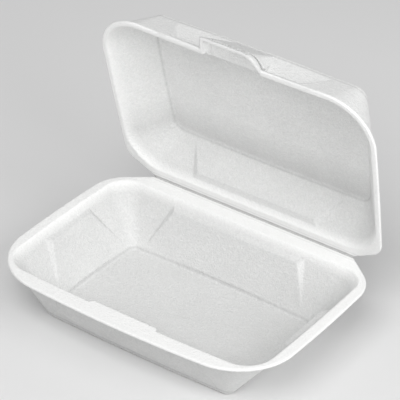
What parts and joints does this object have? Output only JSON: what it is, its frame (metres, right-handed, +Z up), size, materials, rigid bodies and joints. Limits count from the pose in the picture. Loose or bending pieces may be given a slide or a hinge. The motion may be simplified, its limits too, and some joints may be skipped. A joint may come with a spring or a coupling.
{
  "type": "foam clamshell container",
  "caption": "Hinged foam food box: shallow tray with a wide rim and latch tab, and a lid with a latch pocket, standing open on its scored hinge.",
  "frame": {"origin": "middle of the tray's flat underside", "axes": "+X along the hinge, +Y from the front rim to the hinge, +Z up; the lid stands open 76 degrees from shut, as in the picture"},
  "size_m": [0.236, 0.1965, 0.2013],
  "materials": {
    "foam": "matte white expanded polystyrene with a fine cell mottle"
  },
  "bodies": {
    "tray": {"tray": "foam"},
    "lid": {"lid": "foam"}
  },
  "joints": [
    {"name": "lid_hinge", "type": "hinge", "parent": "tray", "child": "lid", "pos_m": [0, 0.0895, 0.04215], "axis": [-1, 0, 0], "range_deg": [-76, 104]}
  ]
}
